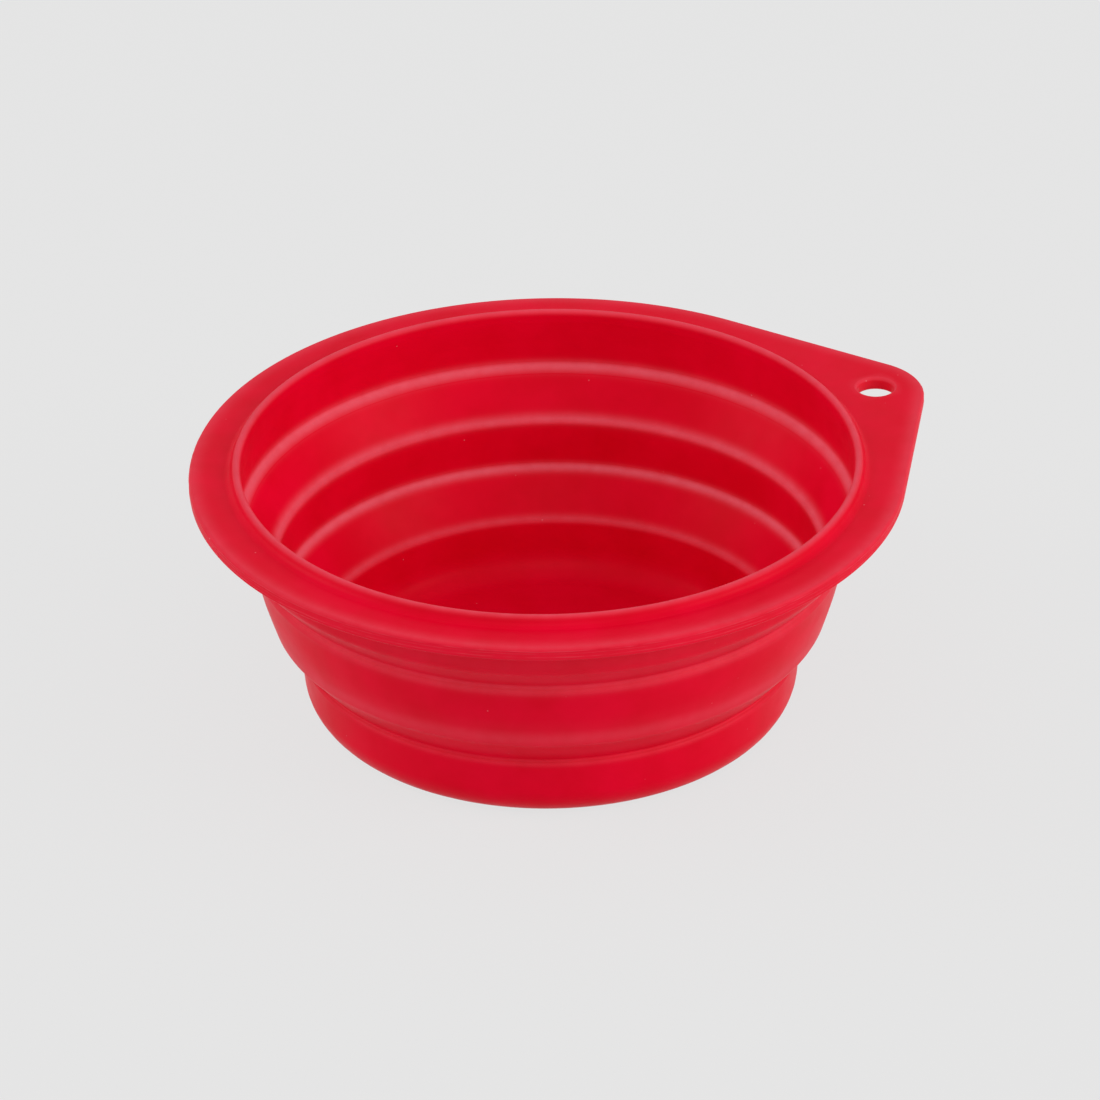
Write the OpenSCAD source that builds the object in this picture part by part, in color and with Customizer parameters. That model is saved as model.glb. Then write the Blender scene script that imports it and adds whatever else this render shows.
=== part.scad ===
// Collapsible bowl of soft moulded rubber, standing open.
// The bowl is one moulding. It is drawn as its stiff bands, its folds and the thin webs between
// them, which meet at flat joints, so that each band can drop past the one below it.
// Z is the bowl's axis, z = 0 is the flat underside, and the hanging tab points along +X.

/* [Rim and lip] */
// Diameter of the flat rim, without its tab
rim_d = 140; // [134:1:150]
// Thickness of the rim and the tab, which have a full round edge
rim_t = 2.8; // [2.2:0.1:3.4]
// Reach of the rim beyond the outside of the upper wall
rim_reach = 7.7; // [6:0.1:9]
// Width of the raised lip round the mouth
lip_w = 1.7; // [1.4:0.1:2]
// Height of the lip above the rim
lip_h = 2; // [1.4:0.1:3]
// How far the lip stands inward of the upper wall's inner face
lip_inset = 0.4; // [0:0.1:0.6]

/* [Hanging tab] */
// Diameter of the hanging hole
hole_d = 7.2; // [5:0.1:9]
// Distance of the hole's centre outside the rim's edge circle
hole_out = 1.8; // [0:0.1:4]
// Radius of the tab's rounded nose, about the hole
nose_r = 9.8; // [8:0.1:12]

/* [Upper wall and upper web] */
// Height of the upper wall, from its fold to the underside of the rim
upper_wall_h = 8.1; // [6:0.1:12]
// Thickness of the upper wall under the rim
upper_wall_t = 2; // [1.6:0.1:2.4]
// How much the upper wall's inner face widens towards its fold
upper_flare = 0.2; // [0:0.05:0.4]
// Height of the upper web, from fold to fold
upper_web_h = 8.95; // [8:0.05:10]
// How far the upper web steps inward
upper_step = 5; // [4.8:0.1:6]
// Radius of the rounded outer edge at the foot of the upper wall
upper_foot_r = 2; // [0.8:0.1:2.4]

/* [Middle wall and lower web] */
// Height of the middle wall, from fold to fold
middle_wall_h = 10.5; // [9:0.1:13]
// Thickness of the middle wall's thick shoulder
shoulder_t = 5.4; // [4.8:0.1:5.6]
// Height of the shoulder's outer corner above the fold
shoulder_rise = 3; // [2.6:0.05:3.1]
// Thickness of the middle wall at its foot
foot_t = 0.75; // [0.6:0.05:1.2]
// How much the middle wall's inner face widens towards its foot
middle_flare = 0.35; // [0:0.05:0.5]
// Radius of the rounded outer edge at the foot of the middle wall
middle_foot_r = 3; // [1.2:0.1:4]
// Height of the lower web, from fold to fold
lower_web_h = 8.45; // [7.5:0.05:10]
// How far the lower web steps inward
lower_step = 5.4; // [5:0.1:6.4]

/* [Base] */
// Height of the lowest fold above the underside
base_fold_h = 12.9; // [11:0.05:16]
// Thickness of the base wall at its shoulder
base_wall_t = 3.3; // [2.8:0.1:3.6]
// Height of the base shoulder's outer corner above the fold
base_rise = 0.7; // [0.5:0.05:0.8]
// How much the base wall's outer face narrows towards the underside
base_draft = 1.35; // [0.6:0.05:2]
// How much the base wall's inner face narrows towards the floor
base_inner_draft = 0.85; // [0.4:0.05:1.4]
// Thickness of the floor
floor_t = 2; // [1.6:0.1:3]
// Radius of the outer corner between the base wall and the underside
base_corner_r = 8; // [6:0.1:9]

/* [Folds] */
// Slope of the small ledge at each fold, in degrees
ledge_angle = 28; // [20:1:34]
// Width of the ledge at the foot of a wall
wall_ledge_w = 1.2; // [0.9:0.05:1.4]
// Width of the ledge at the foot of a web
web_ledge_w = 1; // [0.8:0.05:1.2]
// Radius of the hollow above each ledge
ledge_hollow_r = 0.9; // [0.4:0.05:1.1]
// Radius of the round edge between a ledge and the web below it
web_edge_r = 2.4; // [1.2:0.1:3]
// Radius of the round edge between a ledge and the wall below it
wall_edge_r = 0.9; // [0.5:0.05:1.2]
// Width of the middle wall's rounded shoulder
shoulder_w = 1.3; // [1:0.05:1.4]
// Slope of the middle wall's shoulder, in degrees
shoulder_angle = 40; // [32:1:44]
// Radius of the middle wall's rounded shoulder
shoulder_r = 1.2; // [0.6:0.05:1.4]
// Width of the base wall's rounded shoulder
base_shoulder_w = 0.9; // [0.7:0.05:1.1]
// Slope of the base wall's shoulder, in degrees
base_shoulder_angle = 30; // [24:1:36]
// Radius of the base wall's rounded shoulder
base_shoulder_r = 0.8; // [0.5:0.05:1]
// Radius of the groove between a shoulder and the web above it
groove_r = 0.45; // [0.3:0.05:0.5]

/* [Hidden] */
$fn = 96;
rubber_red = [0.84, 0.07, 0.15];

// One overrun for every cut
overrun = 1;
// Thickness of the slices that the tab's outline spans
slice_t = 0.01;
// Straight steps that stand for a rounded edge
arc_steps = 8;
// Largest share of a straight that one of its two rounds may take
round_share = 0.499;
// Height of the floor's upturned edge, which is part of the floor piece
floor_edge_h = 0.9;
// Slope at the lip's foot, seen from outside
lip_foot = 0.5;
// How far the middle wall's outer foot lies below its fold
foot_drop = 0.5;
// How far the upper wall's outer foot lies above its fold
upper_foot_rise = 0.3;
// How far the flat joint below a fold lies from it, under a ledge's wall and under a ledge's web
wall_joint_reach = 0.9;
web_joint_reach = 0.7;
// How far the flat joint above a ledge lies from the ledge's hollow, and from a shoulder's groove
hollow_joint_reach = 0.65;
groove_joint_reach = 0.4;

// Levels, from the underside up
fold_4_z = base_fold_h;
fold_3_z = fold_4_z + lower_web_h;
fold_2_z = fold_3_z + middle_wall_h;
fold_1_z = fold_2_z + upper_web_h;
rim_under_z = fold_1_z + upper_wall_h;
rim_mid_z = rim_under_z + rim_t / 2;
rim_top_z = rim_under_z + rim_t;
lip_top_z = rim_top_z + lip_h;
wall_ledge_drop = wall_ledge_w * tan(ledge_angle);
web_ledge_drop = web_ledge_w * tan(ledge_angle);

// Radii of the rim, the upper wall and the lip
rim_r = rim_d / 2;
upper_out_r = rim_r - rim_reach;
upper_in_r = upper_out_r - upper_wall_t;
lip_in_r = upper_in_r - lip_inset;
lip_out_r = lip_in_r + lip_w;
base_inner_corner_r = base_corner_r - floor_t;

// Corners of the inside, from the rim down: at each fold the hollow and the round edge of its ledge
hollow_1 = [upper_in_r + upper_flare, fold_1_z + wall_ledge_drop];
fold_1 = [hollow_1.x - wall_ledge_w, fold_1_z];
hollow_2 = [fold_1.x - upper_step, fold_2_z + web_ledge_drop];
fold_2 = [hollow_2.x - web_ledge_w, fold_2_z];
hollow_3 = [fold_2.x + middle_flare, fold_3_z + wall_ledge_drop];
fold_3 = [hollow_3.x - wall_ledge_w, fold_3_z];
hollow_4 = [fold_3.x - lower_step, fold_4_z + web_ledge_drop];
fold_4 = [hollow_4.x - web_ledge_w, fold_4_z];
base_inner_foot = [fold_4.x - base_inner_draft, floor_t];

// Corners of the outside, from the underside up
base_shoulder = [fold_4.x + base_wall_t, fold_4_z + base_rise];
base_groove = base_shoulder + base_shoulder_w * [-1, tan(base_shoulder_angle)];
base_foot = [base_shoulder.x - base_draft, 0];
middle_foot = [hollow_3.x + foot_t, fold_3_z - foot_drop];
middle_shoulder = [fold_2.x + shoulder_t, fold_2_z + shoulder_rise];
middle_groove = middle_shoulder + shoulder_w * [-1, tan(shoulder_angle)];
upper_foot = [upper_out_r, fold_1_z + upper_foot_rise];

// Levels of the flat joints between the pieces
floor_joint_z = floor_t + floor_edge_h;
rib_4_low_z = fold_4_z - wall_joint_reach;
rib_4_high_z = base_groove.y + groove_joint_reach;
rib_3_low_z = middle_foot.y - web_joint_reach;
rib_3_high_z = hollow_3.y + hollow_joint_reach;
rib_2_low_z = fold_2_z - wall_joint_reach;
rib_2_high_z = middle_groove.y + groove_joint_reach;
rib_1_low_z = fold_1_z - web_joint_reach;
rib_1_high_z = hollow_1.y + hollow_joint_reach;

// Plan of the tab: its straight edges are tangents of the rim and of the nose
hole_x = rim_r + hole_out;
tangent_angle = acos((rim_r - nose_r) / hole_x);

function unit(v) = v / norm(v);

// Points of a round of radius r at corner b, on the way from a to c, no larger than its straights allow
function rounded(a, b, c, r) =
    let (
        u = unit(a - b),
        w = unit(c - b),
        half = acos(u * w) / 2,
        fit = min(r, round_share * min(norm(a - b), norm(c - b)) * tan(half)),
        centre = b + unit(u + w) * fit / sin(half),
        first = b + u * fit / tan(half) - centre,
        last = b + w * fit / tan(half) - centre,
        from = atan2(first.y, first.x),
        sweep = (atan2(last.y, last.x) - from + 540) % 360 - 180
    )
    [for (i = [0:arc_steps]) centre + fit * [cos(from + sweep * i / arc_steps), sin(from + sweep * i / arc_steps)]];

// A line through the given corners, each given as [corner, radius]; its two ends stay sharp
function rounded_line(corners) = [
    for (i = [0:len(corners) - 1])
        each i == 0 || i == len(corners) - 1
            ? [corners[i][0]]
            : rounded(corners[i - 1][0], corners[i][0], corners[i + 1][0], corners[i][1])
];

// Outside of the bowl's wall, from the middle of the underside up to the rim
function outer_line() = rounded_line([
    [[0, 0], 0],
    [base_foot, base_corner_r],
    [base_shoulder, base_shoulder_r],
    [base_groove, groove_r],
    [middle_foot, middle_foot_r],
    [middle_shoulder, shoulder_r],
    [middle_groove, groove_r],
    [upper_foot, upper_foot_r],
    [[upper_out_r, rim_under_z], 0]
]);

// Inside of the bowl's wall, from the rim down to the middle of the floor
function inner_line() = rounded_line([
    [[upper_in_r, rim_under_z], 0],
    [hollow_1, ledge_hollow_r],
    [fold_1, web_edge_r],
    [hollow_2, ledge_hollow_r],
    [fold_2, wall_edge_r],
    [hollow_3, ledge_hollow_r],
    [fold_3, web_edge_r],
    [hollow_4, ledge_hollow_r],
    [fold_4, wall_edge_r],
    [base_inner_foot, base_inner_corner_r],
    [[0, floor_t], 0]
]);

// Section of the whole moulded wall and floor, below the rim
module wall_section() {
    polygon(concat(outer_line(), inner_line()));
}

// The part of the wall that lies between two levels, turned about the axis
module wall_ring(low_z, high_z) {
    rotate_extrude() intersection() {
        wall_section();
        polygon([[0, low_z], [rim_r, low_z], [rim_r, high_z], [0, high_z]]);
    }
}

// Section of the rim: flat above and below, with a full round outer edge at radius r
module rim_section(r, depth, facets) {
    translate([r - depth, rim_under_z]) square([depth - rim_t / 2, rim_t]);
    translate([r - rim_t / 2, rim_mid_z]) circle(d = rim_t, $fn = facets);
}

// Flat rim, all the way round except where the tab grows out of it
module rim_flange() {
    color(rubber_red) rotate([0, 0, tangent_angle]) rotate_extrude(angle = 360 - 2 * tangent_angle)
        rim_section(rim_r, rim_r - upper_in_r, 32);
}

// Thin slice of the rim where the tab's straight edge starts, on the tab's side of the joint
module tab_root() {
    rotate([0, 0, tangent_angle]) rotate([90, 0, 0]) linear_extrude(slice_t)
        rim_section(rim_r, rim_r - upper_in_r + overrun, 24);
}

// Rounded end of the tab, about the hole
module tab_nose() {
    translate([hole_x, 0, 0]) rotate([0, 0, -tangent_angle])
        rotate_extrude(angle = 2 * tangent_angle) rim_section(nose_r, nose_r, 24);
}

// Pointed hanging tab with its stretch of the rim and its hole
module hang_tab() {
    color(rubber_red) difference() {
        hull() {
            tab_root();
            mirror([0, 1, 0]) tab_root();
            tab_nose();
        }
        translate([0, 0, rim_under_z - overrun]) cylinder(r = upper_in_r, h = rim_t + 2 * overrun);
        translate([hole_x, 0, rim_under_z - overrun]) cylinder(d = hole_d, h = rim_t + 2 * overrun);
    }
}

// Raised round lip on the rim, round the mouth
module mouth_lip() {
    crest_z = lip_top_z - lip_w / 2;
    color(rubber_red) rotate_extrude() {
        polygon([
            [lip_in_r, rim_top_z],
            [lip_out_r + lip_foot, rim_top_z],
            [lip_out_r, rim_top_z + lip_foot],
            [lip_out_r, crest_z],
            [lip_in_r, crest_z]
        ]);
        translate([lip_in_r + lip_w / 2, crest_z]) circle(d = lip_w, $fn = 32);
    }
}

// Stiff band under the rim
module upper_wall() {
    color(rubber_red) wall_ring(rib_1_high_z, rim_under_z);
}

// Fold between the upper wall and the upper web, with its ledge inside
module fold_rib_1() {
    color(rubber_red) wall_ring(rib_1_low_z, rib_1_high_z);
}

// Thin web that turns inside out when the rim is pushed down
module upper_web() {
    color(rubber_red) wall_ring(rib_2_high_z, rib_1_low_z);
}

// Fold between the upper web and the middle wall, with its ledge inside and its shoulder outside
module fold_rib_2() {
    color(rubber_red) wall_ring(rib_2_low_z, rib_2_high_z);
}

// Stiff middle band, thick at its shoulder and thin at its foot
module middle_wall() {
    color(rubber_red) wall_ring(rib_3_high_z, rib_2_low_z);
}

// Fold between the middle wall and the lower web, with its ledge inside
module fold_rib_3() {
    color(rubber_red) wall_ring(rib_3_low_z, rib_3_high_z);
}

// Thin web that turns inside out when the middle wall is pushed down
module lower_web() {
    color(rubber_red) wall_ring(rib_4_high_z, rib_3_low_z);
}

// Fold between the lower web and the base wall, with its ledge inside and its shoulder outside
module fold_rib_4() {
    color(rubber_red) wall_ring(rib_4_low_z, rib_4_high_z);
}

// Stiff band above the floor
module base_wall() {
    color(rubber_red) wall_ring(floor_joint_z, rib_4_low_z);
}

// Floor with its flat underside and the start of the rounded corner
module floor_disc() {
    color(rubber_red) wall_ring(0, floor_joint_z);
}

rim_flange();
hang_tab();
mouth_lip();
upper_wall();
fold_rib_1();
upper_web();
fold_rib_2();
middle_wall();
fold_rib_3();
lower_web();
fold_rib_4();
base_wall();
floor_disc();
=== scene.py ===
import math

import bpy
from mathutils import Matrix, Vector, noise
from mathutils.geometry import delaunay_2d_cdt


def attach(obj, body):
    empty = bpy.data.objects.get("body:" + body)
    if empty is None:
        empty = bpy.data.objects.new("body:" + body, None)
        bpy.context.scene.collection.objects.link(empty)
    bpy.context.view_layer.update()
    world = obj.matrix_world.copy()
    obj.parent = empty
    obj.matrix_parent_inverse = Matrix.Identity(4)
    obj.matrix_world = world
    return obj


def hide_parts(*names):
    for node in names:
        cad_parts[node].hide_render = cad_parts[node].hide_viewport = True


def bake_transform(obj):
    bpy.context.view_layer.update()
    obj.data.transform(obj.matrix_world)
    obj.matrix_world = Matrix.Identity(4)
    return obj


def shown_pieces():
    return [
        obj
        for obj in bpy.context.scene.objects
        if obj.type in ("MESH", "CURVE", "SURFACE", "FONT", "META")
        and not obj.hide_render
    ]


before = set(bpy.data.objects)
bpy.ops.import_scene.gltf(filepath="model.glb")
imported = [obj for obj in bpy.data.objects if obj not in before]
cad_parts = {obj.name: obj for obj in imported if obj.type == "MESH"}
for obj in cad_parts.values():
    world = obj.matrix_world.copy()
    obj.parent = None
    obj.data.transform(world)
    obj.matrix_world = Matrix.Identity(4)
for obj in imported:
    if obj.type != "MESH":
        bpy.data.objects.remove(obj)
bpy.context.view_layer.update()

# Sizes are in millimetres and angles in radians, where nothing else is said. Most sizes are the solids' own.
# The middle wall's outside, the tab's nose, the lip's root and the rim's fine forms follow the photograph
# more closely.
MM = 0.001

# Rim and the rounds of its edge, with a crown that starts some way in from the edge
RIM_R = 70.0
RIM_UNDER_Z, RIM_TOP_Z = 48.9, 51.7
SIDE_TOP_R, SIDE_UNDER_R = 0.6, 0.45
SIDE_IN = 0.05
CROWN_H, CROWN_DEPTH = 0.12, 4.0

# Flash lines on the rim's edge as (level, height, half width), and how much they wander and break up
FLASH = ((51.0, 0.08, 0.09), (50.5, 0.05, 0.07), (49.75, 0.07, 0.09))
FLASH_SWAY = 0.09
FLASH_MEAN, FLASH_MOST = 0.7, 1.2
SWAY_SCALE, BROAD_SCALE, FINE_SCALE = 0.2, 0.09, 0.5

# Lip, whose outer side slopes out towards its hollow foot, both drawn from lines as long as LIP_GUIDE
LIP_IN_R = 59.9
LIP_W = 1.7
LIP_TOP_Z = 53.7
LIP_CENTRE = (LIP_IN_R + LIP_W / 2, LIP_TOP_Z - LIP_W / 2)
LIP_SLOPE = math.radians(20)
LIP_FOOT_R = 1.6
LIP_GUIDE = 3.2

# Tab, with straight flanks this far either side of +X, a round nose and the hanging hole
TAB_ANGLE = math.radians(33.026)
NOSE_R = 13.5
NOSE_X = (RIM_R - NOSE_R) / math.cos(TAB_ANGLE)
HOLE_X = 71.8
HOLE_R = 3.6
HOLE_EDGE_R = 0.7

# Corners of the inside as (r, z, round), from the lip down. Each fold has a hollow above its ledge and an
# edge below it.
UPPER_IN_R = 60.3
LIP_INSIDE = (LIP_IN_R, LIP_CENTRE[1], 0)
LIP_BEND, UPPER_BEND = (LIP_IN_R, RIM_TOP_Z - 0.4, 5.0), (UPPER_IN_R, RIM_TOP_Z - 5.0, 12.0)
HOLLOW_1, FOLD_1 = (60.5, 41.438, 0.9), (59.3, 40.8, 2.4)
HOLLOW_2, FOLD_2 = (54.3, 32.382, 0.9), (53.3, 31.85, 0.9)
HOLLOW_3, FOLD_3 = (53.65, 21.988, 0.9), (52.45, 21.35, 2.4)
HOLLOW_4, FOLD_4 = (47.05, 13.432, 0.9), (46.05, 12.9, 0.9)
BASE_INNER_FOOT = (45.2, 2.0, 6.0)
FLOOR_CENTRE = (0, 2.0, 0)

# Corners of the outside as (r, z, round), from the middle of the underside to below the rim
UNDERSIDE_CENTRE = (0, 0, 0)
BASE_FOOT, BASE_SHOULDER, BASE_GROOVE = (48.0, 0.0, 8.0), (49.35, 13.6, 0.8), (48.45, 14.12, 0.45)
MIDDLE_FOOT, MIDDLE_BULGE = (54.4, 20.85, 3.0), (56.6, 27.747, 60.0)
MIDDLE_SHOULDER, MIDDLE_GROOVE = (58.2, 34.85, 1.6), (57.25, 35.8, 0.9)
UPPER_FOOT, UPPER_FLARE = (61.95, 41.1, 2.6), (62.3, RIM_UNDER_Z, 1.5)
UNDER_RIM = (68.0, RIM_UNDER_Z, 0)

# Levels of the joints between pieces, inside and outside where a joint slopes
FLOOR_JOINT_Z = 2.9
RIB_4_LOW, RIB_4_IN, RIB_4_OUT = 12.0, 14.3, 14.52
RIB_3_LOW, RIB_3_HIGH = 20.15, 22.638
RIB_2_LOW, RIB_2_IN, RIB_2_OUT = 30.95, 36.0, 36.341
RIB_1_LOW, RIB_1_HIGH = 40.1, 42.088

# Painted light, from 0 for none: highlights and floor reflections painted on folds, shoulders, lip and edges,
# and a lift over the shaded wall under the rim.
# Bells along the sections as (point, amount, half width), then amounts on rim and tab
OUTSIDE_PAINTED_LIGHT = (
    ((49.05, 13.85), 0.24, 0.65), ((51.4, 17.3), 0.08, 2.2), ((54.9, 22.7), 0.27, 1.7),
    ((57.75, 35.3), 0.38, 1.0), ((59.5, 38.3), 0.11, 2.4), ((62.3, 43.5), 0.13, 2.6),
)
INSIDE_PAINTED_LIGHT = (
    ((60.02, 41.17), 1.08, 1.0), ((54.12, 32.28), 0.85, 0.95),
    ((53.18, 21.74), 1.25, 0.85), ((46.82, 13.31), 0.52, 0.75),
)
LIP_PAINTED_LIGHT = (((60.7, 53.68), 0.62, 0.7),)
# Amounts of painted highlight on the rim's edge, its round top edge, its top near the edge, its flash lines,
# and the hole's bore and brims
SIDE_PAINTED_LIGHT, TOP_EDGE_PAINTED_LIGHT, CROWN_PAINTED_LIGHT, FLASH_PAINTED_LIGHT = 0.08, 0.24, 0.36, 0.3
HOLE_PAINTED_LIGHT, HOLE_EDGE_PAINTED_LIGHT = 0.12, 0.34

# Fineness of the meshes
SEGMENTS = 288
ARC_STEP = math.radians(8)
LINE_STEP = 0.45
LONG_LINE, LONG_LINE_ROWS = 20, 10
DOME_REACH, DOME_STEPS = 0.45, 12
SIDE_STEP = 0.055
EDGE_DEGREES = range(0, 91, 9)
FLASH_UNDER_DEGREES, FLASH_TOP_DEGREES = 30, 60
CROWN_STEPS = 8
FLANGE_STEPS = 420
FLANK_STEPS, NOSE_STEPS, TAB_INNER_STEPS = 30, 32, 52
HOLE_STEPS, HOLE_EDGE_STEPS = 72, 5

# Points that fill the flat of the tab: a square grid, kept clear of every border, and joined into triangles
# inside the borders
FILL_DEPTH = 4.0
FILL_START_X, FILL_STEP = 61.5, 1.7
FILL_COLUMNS, FILL_ROWS = 14, 18
FILL_GAP, FILL_END_ANGLE = 0.8, 0.015
INSIDE_BORDERS, FILL_TOLERANCE = 1, 1e-6

# Largest part of a line that a round may take, and distances that count as none
ROUND_SHARE = 0.499
SAME_SAMPLE, SAME_POINT, ON_AXIS = 1e-5, 1e-4, 1e-6


# Section drawing. A section is walked with the rubber on its left, and each sample is (r, z, nr, nz, painted
# light).
def unit(x, y):
    size = math.hypot(x, y)
    return x / size, y / size


def ray(angle):
    return math.cos(angle), math.sin(angle)


def point_between(p, q, t):
    return p[0] + (q[0] - p[0]) * t, p[1] + (q[1] - p[1]) * t


def line(p, q):
    """Straight part of a section, with the number of rows that it is sampled in."""
    size = math.dist(p, q)
    rows = max(1, math.ceil(size / LINE_STEP)) if size < LONG_LINE else LONG_LINE_ROWS
    return {"kind": "line", "p": p, "q": q, "d": unit(q[0] - p[0], q[1] - p[1]), "size": size, "rows": rows}


def circle(c, r, convex):
    return {"kind": "circle", "c": c, "r": r, "convex": convex}


def free_side(d):
    """Normal that points out of the rubber, for a walk in direction d."""
    return d[1], -d[0]


def heading(s):
    """Direction of the walk at a sample."""
    return -s[3], s[2]


def crossing(a, b):
    """Point where two lines meet."""
    (px, py), (dx, dy) = a["p"], a["d"]
    (qx, qy), (ex, ey) = b["p"], b["d"]
    t = ((qx - px) * ey - (qy - py) * ex) / (dx * ey - dy * ex)
    return px + dx * t, py + dy * t


def corner(a, b, r):
    """Round of radius r between two lines, no larger than they allow."""
    x, y = crossing(a, b)
    (dx, dy), (ex, ey) = a["d"], b["d"]
    turn = dx * ey - dy * ex
    half = math.acos(max(-1, min(1, dx * ex + dy * ey))) / 2
    r = min(r, ROUND_SHARE * min(a["size"], b["size"]) / math.tan(half))
    wx, wy = unit(ex - dx, ey - dy)
    reach = r / math.cos(half)
    return circle((x + wx * reach, y + wy * reach), r, turn > 0)


def chain(points):
    """Lines through points (x, y, radius) with a round at each point between the ends."""
    lines = [line(a[:2], b[:2]) for a, b in zip(points, points[1:])]
    parts = [lines[0]]
    for p, a, b in zip(points[1:], lines, lines[1:]):
        parts += [corner(a, b, p[2]), b]
    return parts


def touch(a, b):
    """Point where two neighbours of a section touch."""
    if a["kind"] == "line" and b["kind"] == "line":
        return crossing(a, b)
    straight, other = (a, b) if a["kind"] == "line" else (b, a)
    (px, py), (dx, dy), (cx, cy) = straight["p"], straight["d"], other["c"]
    t = (cx - px) * dx + (cy - py) * dy
    return px + dx * t, py + dy * t


def line_samples(e, start, end):
    n = free_side(e["d"])
    shares = [k / e["rows"] for k in range(e["rows"] + 1)]
    return [(*point_between(start, end, t), *n, 0.0) for t in shares]


def arc_samples(e, start, end):
    cx, cy = e["c"]
    a = math.atan2(start[1] - cy, start[0] - cx)
    b = math.atan2(end[1] - cy, end[0] - cx)
    sweep = (b - a) % math.tau if e["convex"] else -((a - b) % math.tau)
    steps = max(2, math.ceil(abs(sweep) / ARC_STEP))
    side = 1 if e["convex"] else -1
    rays = [ray(a + sweep * k / steps) for k in range(steps + 1)]
    return [(cx + e["r"] * x, cy + e["r"] * y, side * x, side * y, 0.0) for x, y in rays]


def walk(parts):
    """Samples along a section whose neighbours are tangent."""
    out = []
    for i, e in enumerate(parts):
        start = e["p"] if i == 0 else touch(parts[i - 1], e)
        end = e["q"] if i == len(parts) - 1 else touch(e, parts[i + 1])
        out += line_samples(e, start, end) if e["kind"] == "line" else arc_samples(e, start, end)
    clean = [out[0]]
    for s in out[1:]:
        if math.dist(s[:2], clean[-1][:2]) > SAME_SAMPLE:
            clean.append(s)
    return clean


def add_painted_light(samples, bells):
    """The samples with soft bells of painted light, which stand for highlights, along the section: (point,
    amount, half width).
    """
    way = [0.0]
    for a, b in zip(samples, samples[1:]):
        way.append(way[-1] + math.dist(a[:2], b[:2]))
    out = [list(s) for s in samples]
    for point, amount, half in bells:
        at = min(range(len(samples)), key=lambda i: math.dist(samples[i][:2], point))
        for i, s in enumerate(out):
            s[4] = max(s[4], amount * 0.5 ** (((way[i] - way[at]) / half) ** 2))
    return [tuple(s) for s in out]


def cut(samples, z):
    """Index and sample where a section crosses a level."""
    for i in range(len(samples) - 1):
        a, b = samples[i], samples[i + 1]
        if (a[1] - z) * (b[1] - z) <= 0 and a[1] != b[1]:
            t = (z - a[1]) / (b[1] - a[1])
            return i, tuple(u + (v - u) * t for u, v in zip(a, b))
    raise ValueError(f"the section doesn't reach {z}")


def between(samples, z0, z1):
    """Samples from level z0 to level z1, in the order of the walk. None stands for an end of the section."""
    i, a = (-1, samples[0]) if z0 is None else cut(samples, z0)
    j, b = (len(samples) - 1, samples[-1]) if z1 is None else cut(samples, z1)
    apart = [s for s in samples[i + 1:j + 1] if all(math.dist(s[:2], end[:2]) > SAME_POINT for end in (a, b))]
    return [a, *apart, b]


def flat(a, b):
    """Flat joint face from sample a to sample b."""
    n = free_side(unit(b[0] - a[0], b[1] - a[1]))
    return [(a[0], a[1], *n, 0.0), (b[0], b[1], *n, 0.0)]


def dome(a, b):
    """Round end of a band from sample a to sample b, hidden inside its web while the bowl stands open."""
    reach = math.dist(a[:2], b[:2]) * DOME_REACH
    start_d, end_d = heading(a), heading(b)
    p = [a[:2], (a[0] + start_d[0] * reach, a[1] + start_d[1] * reach),
         (b[0] - end_d[0] * reach, b[1] - end_d[1] * reach), b[:2]]
    out = []
    for k in range(DOME_STEPS + 1):
        t = k / DOME_STEPS
        s = 1 - t
        weights = (s ** 3, 3 * s * s * t, 3 * s * t * t, t ** 3)
        slopes = (3 * s * s, 6 * s * t, 3 * t * t)
        x, y = (sum(w * q[i] for w, q in zip(weights, p)) for i in (0, 1))
        dx, dy = (sum(w * (q[i] - o[i]) for w, o, q in zip(slopes, p, p[1:])) for i in (0, 1))
        out.append((x, y, *free_side(unit(dx, dy)), 0.0))
    return out


# Outside: painted highlights on the shoulders and webs, a painted floor reflection at the middle wall's foot,
# and painted light under the rim
outside = add_painted_light(walk(chain([
    UNDERSIDE_CENTRE, BASE_FOOT, BASE_SHOULDER, BASE_GROOVE, MIDDLE_FOOT, MIDDLE_BULGE, MIDDLE_SHOULDER,
    MIDDLE_GROOVE, UPPER_FOOT, UPPER_FLARE, UNDER_RIM
])), OUTSIDE_PAINTED_LIGHT)
# Inside: painted highlights along the four fold ledges
inside = add_painted_light(walk(chain([
    LIP_INSIDE, LIP_BEND, UPPER_BEND, HOLLOW_1, FOLD_1, HOLLOW_2, FOLD_2, HOLLOW_3, FOLD_3, HOLLOW_4, FOLD_4,
    BASE_INNER_FOOT, FLOOR_CENTRE
])), INSIDE_PAINTED_LIGHT)
rim_inner_face = between(inside, RIM_TOP_Z, RIM_UNDER_Z)


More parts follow.
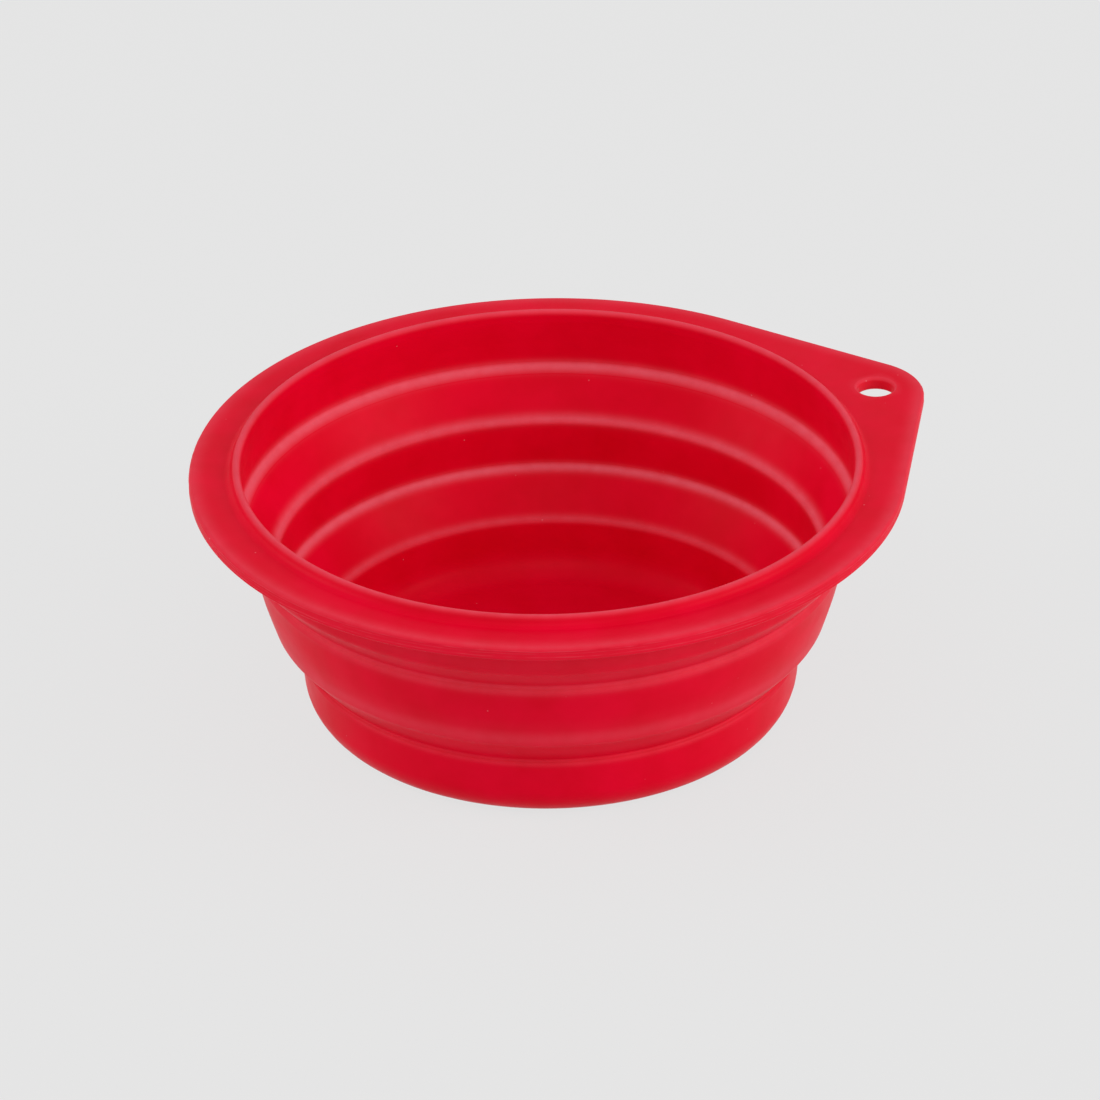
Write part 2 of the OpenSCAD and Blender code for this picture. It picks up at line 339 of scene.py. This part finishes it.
# Meshes
class Skin:
    """A piece's mesh while it is drawn: vertices with their painted light, and faces with a normal for each
    corner.
    """

    def __init__(self):
        self.vertices = []
        self.painted_light = []
        self.faces = []
        self.normals = []

    def vertex(self, point, painted_light=0.0):
        self.vertices.append(point)
        self.painted_light.append(painted_light)
        return len(self.vertices) - 1

    def face(self, corners, normals):
        self.faces.append(corners)
        self.normals.append(normals)

    def strip(self, grid, directions, slopes, closed=False):
        """Faces between the stations of a grid, each row's (nr, nz) turned to its station's direction."""
        pairs = [(j, j + 1) for j in range(len(grid) - 1)]
        if closed:
            pairs.append((len(grid) - 1, 0))
        for j, k in pairs:
            for i in range(len(grid[j]) - 1):
                around = [(j, i), (k, i), (k, i + 1), (j, i + 1)]
                self.face([grid[s][row] for s, row in around],
                          [turned(directions[s], slopes[s][row]) for s, row in around])

    def cap(self, corners, angle, side):
        """Flat end of a stretch of the rim, at its start (side 1) or at its end (side -1)."""
        self.face(corners[::side], [(math.sin(angle) * side, -math.cos(angle) * side, 0.0)] * len(corners))

    def piece(self, node, body=None):
        """The finished piece in place of a node, riding on a body where one is given."""
        mesh = bpy.data.meshes.new(node + "_skin")
        mesh.from_pydata([Vector(v) * MM for v in self.vertices], [], self.faces)
        mesh.polygons.foreach_set("use_smooth", [True] * len(mesh.polygons))
        mesh.normals_split_custom_set([n for face in self.normals for n in face])
        # The painted light mask, stored per vertex, where the material paints its highlights
        painted_light = mesh.attributes.new("painted_light", "FLOAT", "POINT")
        painted_light.data.foreach_set("value", self.painted_light)
        rest = mesh.attributes.new("rest", "FLOAT_VECTOR", "POINT")
        rest.data.foreach_set("vector", [c for v in self.vertices for c in v])
        mesh.update()
        obj = bpy.data.objects.new(node + "_skin", mesh)
        bpy.context.scene.collection.objects.link(obj)
        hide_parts(node)
        if body is not None:
            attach(obj, body)
        return obj


def turned(direction, n):
    """Normal (nr, nz) of a section in space, where the section stands along a level direction."""
    return direction[0] * n[0], direction[1] * n[0], n[1]


def corners_of(loop):
    """Closed section as its distinct points, and for each edge its two points and two normals."""
    points, edges = [], []

    def index(s):
        for i, p in enumerate(points):
            if math.dist(p[:2], s[:2]) < SAME_POINT:
                return i
        points.append(s)
        return len(points) - 1

    for span in loop:
        for a, b in zip(span, span[1:]):
            if math.dist(a[:2], b[:2]) > SAME_POINT:
                edges.append((index(a), index(b), a[2:4], b[2:4]))
    return points, edges


def ring(node, loop, body=None):
    """Closed section turned once about the axis."""
    points, edges = corners_of(loop)
    skin = Skin()
    rays = [ray(math.tau * j / SEGMENTS) for j in range(SEGMENTS + 1)]
    place = []
    for r, z, _, _, painted_light in points:
        if r < ON_AXIS:
            place.append([skin.vertex((0, 0, z), painted_light)] * SEGMENTS)
        else:
            place.append([skin.vertex((r * x, r * y, z), painted_light) for x, y in rays[:-1]])
    for a, b, na, nb in edges:
        a_on_axis, b_on_axis = points[a][0] < ON_AXIS, points[b][0] < ON_AXIS
        if a_on_axis and b_on_axis:
            continue
        for j in range(SEGMENTS):
            around = [(place[a], na, j), (place[a], na, j + 1), (place[b], nb, j + 1), (place[b], nb, j)]
            if a_on_axis:
                around = around[1:]
            elif b_on_axis:
                around = around[:3]
            skin.face([circle_of[turn % SEGMENTS] for circle_of, _, turn in around],
                      [turned(rays[turn], n) for _, n, turn in around])
    return skin.piece(node, body)


# Wall
def band(node, z0, z1, body):
    """Piece of the wall between two levels."""
    out = between(outside, z0, z1)
    inner = between(inside, z1, z0)
    loop = [out, flat(out[-1], inner[0]), inner]
    if z0 is not None:
        loop.append(flat(inner[-1], out[0]))
    ring(node, loop, body)


def with_dome_above(node, z0, inner_z, outer_z, body):
    """Band that ends above in a round crest, inside the foot of its web."""
    out = between(outside, z0, outer_z)
    inner = between(inside, inner_z, z0)
    ring(node, [out, dome(out[-1], inner[0]), inner, flat(inner[-1], out[0])], body)


def with_dome_below(node, inner_z, outer_z, z1, body):
    """Band that ends below in a round edge, inside the top of its web."""
    out = between(outside, outer_z, z1)
    inner = between(inside, z1, inner_z)
    ring(node, [out, flat(out[-1], inner[0]), inner, dome(inner[-1], out[0])], body)


def web(node, inner_low, outer_low, inner_high, outer_high):
    """Web between the band below it and the band above it, riding on neither body."""
    out = between(outside, outer_low, outer_high)
    inner = between(inside, inner_high, inner_low)
    obj = ring(node, [out, flat(out[-1], inner[0]), inner, flat(inner[-1], out[0])])
    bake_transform(obj)


def make_upper_wall():
    """Upright band, which flares outside into the rim's underside."""
    flare_end = UPPER_FLARE[0] + UPPER_FLARE[2] + SAME_POINT
    out = [s for s in between(outside, RIB_1_HIGH, None) if s[0] < flare_end]
    inner = between(inside, RIM_UNDER_Z, RIB_1_HIGH)
    ring("upper_wall", [out, flat(out[-1], inner[0]), inner, flat(inner[-1], out[0])], "rim")


# Rim, tab and lip
def flash_lines(x, y):
    """Flash lines (level, height, half width) at a place on the rim's edge, broken and wavy along it."""
    def noise_at(scale, layer):
        return noise.noise(Vector((x * scale, y * scale, layer)))

    out = []
    for k, (level, height, half) in enumerate(FLASH):
        sway = FLASH_SWAY * noise_at(SWAY_SCALE, 7.0 + 5 * k)
        strength = FLASH_MEAN + noise_at(BROAD_SCALE, 1.0 + 5 * k) + noise_at(FINE_SCALE, 3.0 + 5 * k)
        out.append((level + sway, height * min(FLASH_MOST, max(0.0, strength)), half))
    return out


def edge_rows(depth_top, depth_under):
    """Rim's section from its underside, round its edge, to its top.

    Each row is (distance inward of the edge, z, nr, nz, painted light, whether flash may stand out there).
    """
    rows = [(depth_under, RIM_UNDER_Z, 0.0, -1.0, 0.0, False)]
    # Rounds and side of the edge carry a faint painted highlight, which grows towards the top round
    for degrees in EDGE_DEGREES:
        c, s = ray(math.radians(degrees))
        rows.append((SIDE_IN + SIDE_UNDER_R * (1 - s), RIM_UNDER_Z + SIDE_UNDER_R * (1 - c),
                     s, -c, SIDE_PAINTED_LIGHT, degrees > FLASH_UNDER_DEGREES))
    z = RIM_UNDER_Z + SIDE_UNDER_R + SIDE_STEP
    while z < RIM_TOP_Z - SIDE_TOP_R - SIDE_STEP / 2:
        rows.append((SIDE_IN, z, 1.0, 0.0, SIDE_PAINTED_LIGHT, True))
        z += SIDE_STEP
    for degrees in EDGE_DEGREES:
        c, s = ray(math.radians(degrees))
        rows.append((SIDE_IN + SIDE_TOP_R * (1 - c), RIM_TOP_Z - SIDE_TOP_R * (1 - s),
                     c, s, SIDE_PAINTED_LIGHT + TOP_EDGE_PAINTED_LIGHT * s, degrees < FLASH_TOP_DEGREES))
    start = rows[-1][0]
    # Flat top, with a painted highlight that fades inward from the edge
    for k in range(1, CROWN_STEPS + 1):
        share = k / CROWN_STEPS
        d = start + (CROWN_DEPTH - start) * share
        rows.append((d, RIM_TOP_Z, 0.0, 1.0, CROWN_PAINTED_LIGHT * (1 - share) ** 2, False))
    if depth_top > CROWN_DEPTH:
        rows.append((depth_top, RIM_TOP_Z, 0.0, 1.0, 0.0, False))
    return [crowned(row) for row in rows]


def crowned(row):
    """Row of the rim's top lowered towards the edge, so that the top is slightly crowned."""
    d, z, nr, nz, painted_light, flashed = row
    if nz < 0.01 or d > CROWN_DEPTH:
        return row
    t = 1 - d / CROWN_DEPTH
    share = (z - RIM_UNDER_Z) / (RIM_TOP_Z - RIM_UNDER_Z)
    tilt = 2 * CROWN_H * t / CROWN_DEPTH
    return (d, z - CROWN_H * t * t * share, *unit(nr + nz * tilt, nz), painted_light, flashed)


def rows_at(point, rows):
    """The rim's rows (d, z, nr, nz, painted light) at a place on its outline, with the flash there, painted
    pale as a highlight.
    """
    lines = flash_lines(*point)
    out = []
    for d, z, nr, nz, painted_light, flashed in rows:
        if flashed:
            parts = [(h * math.exp(-((z - at) / w) ** 2), -2 * (z - at) / w ** 2) for at, h, w in lines]
            proud = sum(f for f, _ in parts)
            slope = sum(f * k for f, k in parts)
            d -= proud
            # Painted highlight on the flash ridges
            painted_light += FLASH_PAINTED_LIGHT * proud / FLASH[0][1]
            nr, nz = unit(nr, nz - slope * nr)
        out.append((d, z, nr, nz, painted_light))
    return out


def rim_edge(skin, stations, rows):
    """The rim's edge along stations (point, direction) of its outline, and the grid of its vertices."""
    local = [rows_at(point, rows) for point, _ in stations]
    grid = [[skin.vertex((x - nx * d, y - ny * d, z), painted_light) for d, z, _, _, painted_light in here]
            for ((x, y), (nx, ny)), here in zip(stations, local)]
    skin.strip(grid, [n for _, n in stations], [[row[2:4] for row in here] for here in local])
    return grid


def inner_face(skin, angles, samples):
    """Vertices of the rim's inner face, for each angle from the top down."""
    return [[skin.vertex((s[0] * x, s[0] * y, s[1])) for s in samples] for x, y in map(ray, angles)]


def make_flange():
    """Rim all the way round except at the tab."""
    skin = Skin()
    angles = [TAB_ANGLE + (math.tau - 2 * TAB_ANGLE) * j / FLANGE_STEPS for j in range(FLANGE_STEPS + 1)]
    rays = [ray(g) for g in angles]
    rows = edge_rows(RIM_R - rim_inner_face[0][0], RIM_R - rim_inner_face[-1][0])
    edge = rim_edge(skin, [((RIM_R * x, RIM_R * y), (x, y)) for x, y in rays], rows)
    inner = inner_face(skin, angles, rim_inner_face[1:-1])
    # The inner face's ends are the inner ends of the rim's top and underside
    whole = [[e[-1], *i, e[0]] for e, i in zip(edge, inner)]
    skin.strip(whole, rays, [[s[2:4] for s in rim_inner_face]] * len(rays))
    for j, side in ((0, 1), (-1, -1)):
        skin.cap(edge[j] + inner[j], angles[j], side)
    skin.piece("rim_flange", "rim")


def tab_outline():
    """Stations along the tab's edge: point and outward direction, from one end of the tab to the other."""
    n = (math.cos(TAB_ANGLE), -math.sin(TAB_ANGLE))
    a = (RIM_R * n[0], RIM_R * n[1])
    b = (NOSE_X + NOSE_R * n[0], NOSE_R * n[1])
    shares = [k / FLANK_STEPS for k in range(FLANK_STEPS + 1)]
    flank = [(point_between(a, b, t), n) for t in shares]
    nose_rays = [ray(-TAB_ANGLE + 2 * TAB_ANGLE * k / NOSE_STEPS) for k in range(1, NOSE_STEPS)]
    nose = [((NOSE_X + NOSE_R * x, NOSE_R * y), (x, y)) for x, y in nose_rays]
    return flank + nose + [((x, -y), (n[0], -n[1])) for (x, y), n in reversed(flank)]


def hole_rows():
    """Section of the hole's wall, from the top down: (radius, z, nr, nz, painted light)."""
    out = []
    for k in range(HOLE_EDGE_STEPS + 1):
        c, s = ray(math.radians(90 * k / HOLE_EDGE_STEPS))
        # Painted highlight on the hole's rounded brims, and a fainter one on its bore
        painted_light = HOLE_EDGE_PAINTED_LIGHT if 0 < k < HOLE_EDGE_STEPS else HOLE_PAINTED_LIGHT
        out.append((HOLE_R + HOLE_EDGE_R * (1 - s), RIM_TOP_Z - HOLE_EDGE_R * (1 - c), -s, c, painted_light))
    return out + [(r, RIM_TOP_Z + RIM_UNDER_Z - z, nr, -nz, HOLE_PAINTED_LIGHT) for r, z, nr, nz, _ in reversed(out)]


def fill_points():
    """Points over the flat of the tab, clear of its edge, its ends, its inner face and the hole."""
    out = []
    for i in range(FILL_COLUMNS):
        for j in range(-FILL_ROWS, FILL_ROWS + 1):
            x, y = FILL_START_X + FILL_STEP * i, FILL_STEP * j
            by_nose = abs(math.atan2(y, x - NOSE_X)) < TAB_ANGLE
            along = x * math.cos(TAB_ANGLE) + abs(y) * math.sin(TAB_ANGLE)
            outward = math.hypot(x - NOSE_X, y) if by_nose else along - RIM_R + NOSE_R
            if (outward <= NOSE_R - FILL_DEPTH - FILL_GAP
                    and math.atan2(abs(y), x) <= TAB_ANGLE - FILL_END_ANGLE
                    and math.hypot(x, y) > UPPER_IN_R + FILL_GAP
                    and math.hypot(x - HOLE_X, y) >= HOLE_R + HOLE_EDGE_R + FILL_GAP):
                out.append((x, y))
    return out


def fill_flat(skin, outline, bored, z, nz):
    """Flat top or underside of the tab, between its outline and the hole."""
    known = outline + bored + [skin.vertex((x, y, z)) for x, y in fill_points()]
    points = [Vector(skin.vertices[i][:2]) for i in known]
    n, m = len(outline), len(bored)
    edges = [(i, (i + 1) % n) for i in range(n)] + [(n + i, n + (i + 1) % m) for i in range(m)]
    _, _, triangles, origin, _, _ = delaunay_2d_cdt(points, edges, [], INSIDE_BORDERS, FILL_TOLERANCE)
    for triangle in triangles:
        corners = [origin[i][0] for i in triangle]
        over_hole = all(n <= i < n + m for i in corners)
        if not over_hole:
            face = [known[i] for i in corners]
            skin.face(face if nz > 0 else face[::-1], [(0.0, 0.0, nz)] * 3)


def make_tab():
    """Tab with its hole: strips for the edge, the inner face and the hole, and flat fills above and below."""
    skin = Skin()
    edge = rim_edge(skin, tab_outline(), edge_rows(FILL_DEPTH, FILL_DEPTH))
    angles = [-TAB_ANGLE + 2 * TAB_ANGLE * j / TAB_INNER_STEPS for j in range(TAB_INNER_STEPS + 1)]
    inner = inner_face(skin, angles, rim_inner_face)
    skin.strip(inner, [ray(g) for g in angles], [[s[2:4] for s in rim_inner_face]] * len(angles))
    bore = hole_rows()
    rays = [ray(math.tau * j / HOLE_STEPS) for j in range(HOLE_STEPS)]
    hole = [[skin.vertex((HOLE_X + r * x, r * y, z), painted_light) for r, z, _, _, painted_light in bore] for x, y in rays]
    skin.strip(hole, rays, [[row[2:4] for row in bore]] * HOLE_STEPS, closed=True)
    for edge_end, end, z, nz in ((-1, 0, RIM_TOP_Z, 1.0), (0, -1, RIM_UNDER_Z, -1.0)):
        outline = [e[edge_end] for e in edge] + [i[end] for i in reversed(inner)]
        fill_flat(skin, outline, [h[end] for h in hole], z, nz)
    for j, side in ((0, 1), (-1, -1)):
        skin.cap(edge[j] + inner[j], angles[j], side)
    skin.piece("hang_tab", "rim")


def make_lip():
    """Raised round lip, with its hollow foot."""
    x, z = LIP_CENTRE
    side_x = x + LIP_W / 2 / math.cos(LIP_SLOPE) + (z - RIM_TOP_Z) * math.tan(LIP_SLOPE)
    side_top = (side_x - LIP_GUIDE * math.sin(LIP_SLOPE), RIM_TOP_Z + LIP_GUIDE * math.cos(LIP_SLOPE))
    top = line((side_x + LIP_GUIDE, RIM_TOP_Z), (side_x, RIM_TOP_Z))
    side = line((side_x, RIM_TOP_Z), side_top)
    end = line((LIP_IN_R, z + 1), (LIP_IN_R, z))
    foot = corner(top, side, LIP_FOOT_R)
    crest = circle(LIP_CENTRE, LIP_W / 2, True)
    # Painted highlight along the lip's crest
    over = add_painted_light(walk([top, foot, side, crest, end]), LIP_PAINTED_LIGHT)
    over = [s for s in over if s[0] < foot["c"][0] + SAME_POINT]
    down = between(inside, None, RIM_TOP_Z)
    ring("mouth_lip", [over, down, flat(down[-1], over[0])], "rim")


# The thirteen pieces, from the floor up
band("floor_disc", None, FLOOR_JOINT_Z, "base")
band("base_wall", FLOOR_JOINT_Z, RIB_4_LOW, "base")
with_dome_above("fold_rib_4", RIB_4_LOW, RIB_4_IN, RIB_4_OUT, "base")
web("lower_web", RIB_4_IN, RIB_4_OUT, RIB_3_LOW, RIB_3_LOW)
with_dome_below("fold_rib_3", RIB_3_LOW, RIB_3_LOW, RIB_3_HIGH, "middle")
band("middle_wall", RIB_3_HIGH, RIB_2_LOW, "middle")
with_dome_above("fold_rib_2", RIB_2_LOW, RIB_2_IN, RIB_2_OUT, "middle")
web("upper_web", RIB_2_IN, RIB_2_OUT, RIB_1_LOW, RIB_1_LOW)
with_dome_below("fold_rib_1", RIB_1_LOW, RIB_1_LOW, RIB_1_HIGH, "rim")
make_upper_wall()
make_flange()
make_tab()
make_lip()


# Materials. Colours are linear, and textures are scaled per millimetre of the bowl at rest.
DEEP_RED, LIGHT_RED = (0.760, 0.0006, 0.019, 1.0), (0.820, 0.0008, 0.026, 1.0)
PAINTED_HIGHLIGHT = (0.90, 0.17, 0.23, 1.0)
DUST = (0.85, 0.42, 0.45, 1.0)
RUBBER_IOR, RUBBER_SPECULAR = 1.41, 0.06
PAINTED_LIGHT_ROUGHER = 0.05
DUST_SCALE = 0.23
PALE = 0.791
FLOOR_GLOW = 0.92


class Shader:
    """A node tree with short ways to add to it. An input takes a plain value or another node's output."""

    def __init__(self, tree):
        self.tree = tree

    def feed(self, socket, value):
        if isinstance(value, bpy.types.NodeSocket):
            self.tree.links.new(value, socket)
        else:
            socket.default_value = value

    def node(self, kind, inputs, **settings):
        n = self.tree.nodes.new("ShaderNode" + kind)
        for key, value in settings.items():
            setattr(n, key, value)
        for key, value in inputs.items():
            self.feed(n.inputs[key], value)
        return n.outputs

    def combine(self, operation, a, b):
        return self.node("Math", {0: a, 1: b}, operation=operation)[0]

    def ramp(self, source, low, high, to_low, to_high):
        ends = {"From Min": low, "From Max": high, "To Min": to_low, "To Max": to_high}
        return self.node("MapRange", {"Value": source, **ends})["Result"]

    def colour(self, factor, a, b):
        return self.node("Mix", {"Factor": factor, "A": a, "B": b}, data_type="RGBA")["Result"]

    def bump(self, strength, metres, height, **more):
        inputs = {"Strength": strength, "Distance": metres, "Height": height, **more}
        return self.node("Bump", inputs)["Normal"]

    def seen_plain(self):
        """1 for what the camera sees, itself or in gloss, and 0 for the light that falls on the object."""
        path = self.node("LightPath", {})
        seen = path["Is Camera Ray"]
        for name in ("Is Glossy Ray", "Is Transmission Ray"):
            seen = self.combine("MAXIMUM", seen, path[name])
        return seen


def material(name):
    """Material with an empty tree, and its shader."""
    mat = bpy.data.materials.new(name)
    mat.use_nodes = True
    mat.node_tree.nodes.clear()
    return mat, Shader(mat.node_tree)


def silicone():
    """Satin red silicone: moulded grain, faint waves, uneven polish, painted highlights on ridges and edges,
    and a little dust.
    """
    mat, shader = material("silicone_satin_red")
    rest = shader.node("Attribute", {}, attribute_name="rest")["Vector"]
    painted_light = shader.node("Attribute", {}, attribute_name="painted_light")["Fac"]

    def cloud(scale, detail, roughness=0.5):
        shape = {"Scale": scale, "Detail": detail, "Roughness": roughness}
        return shader.node("TexNoise", {"Vector": rest, **shape})["Fac"]

    # Colour: two close reds in soft clouds, with painted highlights in a pale pink on ridges and edges, and
    # specks of dust
    clouds = shader.ramp(cloud(0.09, 3.0), 0.35, 0.65, 0.0, 1.0)
    red = shader.colour(clouds, DEEP_RED, LIGHT_RED)
    # Painted highlight: the painted light mask, broken up by clouds, mixes in a pale pink
    painted_highlight_share = shader.combine("MULTIPLY", painted_light, shader.ramp(cloud(0.35, 4.0), 0.3, 0.75, 0.50, 0.68))
    red = shader.colour(painted_highlight_share, red, PAINTED_HIGHLIGHT)
    distance = shader.node("TexVoronoi", {"Vector": rest, "Scale": DUST_SCALE}, feature="F1")["Distance"]
    specks = shader.ramp(distance, 0.02, 0.045, 1.0, 0.0)
    patches = shader.ramp(cloud(0.05, 1.0), 0.48, 0.6, 0.0, 0.5)
    red = shader.colour(shader.combine("MULTIPLY", specks, patches), red, DUST)

    # Polish: satin in soft clouds, a little rougher under the painted highlights
    polish = shader.ramp(cloud(0.22, 5.0, 0.6), 0.3, 0.7, 0.34, 0.42)
    roughness = shader.combine("ADD", polish, shader.combine("MULTIPLY", painted_light, PAINTED_LIGHT_ROUGHER))

    # Relief: the mould's fine grain over a faint waviness
    waves = shader.bump(0.5, 0.00012, cloud(0.12, 1.0))
    grain = shader.bump(0.25, 0.000012, cloud(3.2, 2.0), Normal=waves)

    look = {"Base Color": red, "Roughness": roughness, "Normal": grain}
    gloss = {"IOR": RUBBER_IOR, "Specular IOR Level": RUBBER_SPECULAR}
    skin = shader.node("BsdfPrincipled", {**look, **gloss})["BSDF"]
    shader.node("OutputMaterial", {"Surface": skin})
    return mat


def pale_floor():
    """Pale ground that takes the bowl's shadow and mostly glows by itself for the camera."""
    mat, shader = material("pale_floor")
    matte = shader.node("BsdfDiffuse", {"Color": (PALE, PALE, PALE, 1)})[0]
    glow = shader.node("Emission", {"Color": (PALE, PALE, PALE, 1)})[0]
    share = shader.combine("MULTIPLY", shader.seen_plain(), FLOOR_GLOW)
    both = shader.node("MixShader", {0: share, 1: matte, 2: glow})[0]
    shader.node("OutputMaterial", {"Surface": both})
    return mat


rubber = silicone()
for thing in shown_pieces():
    thing.data.materials.clear()
    thing.data.materials.append(rubber)


# Camera, fitted to the photograph, with a small roll
AZIMUTH, ELEVATION, ROLL = math.radians(-24.7), math.radians(29.91), math.radians(-0.956)
TARGET_RIGHT, TARGET_Z = 0.193, 32.85
CAMERA_METRES = 1.66703
LENS, SENSOR = 278.18, 36

level_right = Vector((math.cos(AZIMUTH), math.sin(AZIMUTH), 0))
away = Vector((-math.sin(AZIMUTH), math.cos(AZIMUTH), 0))
back = Vector((0, 0, 1)) * math.sin(ELEVATION) - away * math.cos(ELEVATION)
plain_up = away * math.sin(ELEVATION) + Vector((0, 0, 1)) * math.cos(ELEVATION)
right = level_right * math.cos(ROLL) + plain_up * math.sin(ROLL)
up = plain_up * math.cos(ROLL) - level_right * math.sin(ROLL)
target = (level_right * TARGET_RIGHT + Vector((0, 0, TARGET_Z))) * MM
camera_data = bpy.data.cameras.new("camera")
camera_data.lens = LENS
camera_data.sensor_width = SENSOR
camera_data.clip_start, camera_data.clip_end = 0.05, 50
camera = bpy.data.objects.new("camera", camera_data)
bpy.context.scene.collection.objects.link(camera)
axes = [(right[i], up[i], back[i], target[i] + back[i] * CAMERA_METRES) for i in range(3)]
camera.matrix_world = Matrix((*axes, (0, 0, 0, 1)))
bpy.context.scene.camera = camera


# Floor, room and lamps, in metres and watts. A lamp's direction is (right, away, up) as the camera stands.
FLOOR_REACH, FLOOR_DROP = 12.0, 0.0002
ROOM_LIGHT = 0.58
LAMP_AIM_Z, LAMP_DISTANCE, LAMP_SIZE = 0.03, 1.3, 0.7
LAMPS = (
    ("high_front", (0.0, -0.7, 0.9), 1.8),
    ("right", (1.0, -0.35, 0.45), 6.2),
    ("left", (-1.0, 0.0, 0.45), 4.2),
)


def make_floor():
    mesh = bpy.data.meshes.new("floor")
    corners = [(x * FLOOR_REACH, y * FLOOR_REACH, 0) for x, y in ((-1, -1), (1, -1), (1, 1), (-1, 1))]
    mesh.from_pydata(corners, [], [(0, 1, 2, 3)])
    mesh.materials.append(pale_floor())
    floor = bpy.data.objects.new("floor", mesh)
    bpy.context.scene.collection.objects.link(floor)
    floor.location.z = -FLOOR_DROP


def make_room():
    """Even light on the object, and a pale backdrop for the camera."""
    world = bpy.data.worlds.new("room")
    bpy.context.scene.world = world
    world.use_nodes = True
    shader = Shader(world.node_tree)
    room = world.node_tree.nodes["Background"]
    shader.feed(room.inputs["Strength"], shader.ramp(shader.seen_plain(), 0.0, 1.0, ROOM_LIGHT, PALE))
    shader.feed(room.inputs["Color"], (1, 1, 1, 1))


def softbox(name, toward, power):
    """Square lamp that faces the bowl."""
    data = bpy.data.lights.new(name, "AREA")
    data.shape = "SQUARE"
    data.size = LAMP_SIZE
    data.energy = power
    lamp = bpy.data.objects.new(name, data)
    bpy.context.scene.collection.objects.link(lamp)
    d = (level_right * toward[0] + away * toward[1] + Vector((0, 0, toward[2]))).normalized()
    lamp.location = d * LAMP_DISTANCE + Vector((0, 0, LAMP_AIM_Z))
    lamp.rotation_mode = "QUATERNION"
    lamp.rotation_quaternion = d.to_track_quat("Z", "Y")
    lamp.visible_camera = False


make_floor()
make_room()
for lamp in LAMPS:
    softbox(*lamp)

scene = bpy.context.scene
scene.view_settings.view_transform = "Standard"
